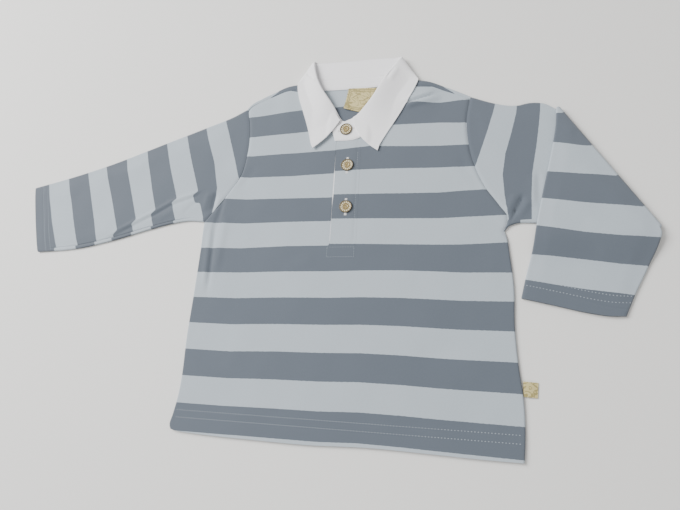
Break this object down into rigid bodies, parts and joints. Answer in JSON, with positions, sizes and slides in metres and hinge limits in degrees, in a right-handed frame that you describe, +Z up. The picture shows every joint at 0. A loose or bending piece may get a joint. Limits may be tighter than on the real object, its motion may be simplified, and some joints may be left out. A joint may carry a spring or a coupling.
{
  "type": "polo shirt",
  "caption": "Baby's long-sleeved polo shirt in striped cotton jersey with a white collar and a buttoned placket, laid flat on its back with one sleeve folded over.",
  "frame": {"origin": "On the flat underside of the back panel, on the shirt's middle line, 168 mm up from the hem: the face that the shirt lies on.", "axes": "+X across the shirt to the wearer's left sleeve, +Y from the hem to the collar, +Z up out of the surface that the shirt lies on."},
  "size_m": [0.6183, 0.368, 0.0112],
  "materials": {
    "striped_jersey": "matte cotton jersey, yarn-dyed in wide slate and pale grey-blue stripes",
    "white_cotton": "matte white cotton twill",
    "label_tape": "woven beige tape with a faint satin sheen",
    "button": "polished horn-brown resin"
  },
  "bodies": {
    "root": {"back": "striped_jersey", "front": "striped_jersey", "sleeve_right": "striped_jersey", "sleeve_left": "striped_jersey", "placket_over": "striped_jersey", "placket_under": "white_cotton", "collar_stand": "white_cotton", "collar_fall": "white_cotton", "neck_label": "label_tape", "side_tag": "label_tape", "button_1": "button", "button_2": "button", "button_3": "button"}
  },
  "joints": []
}
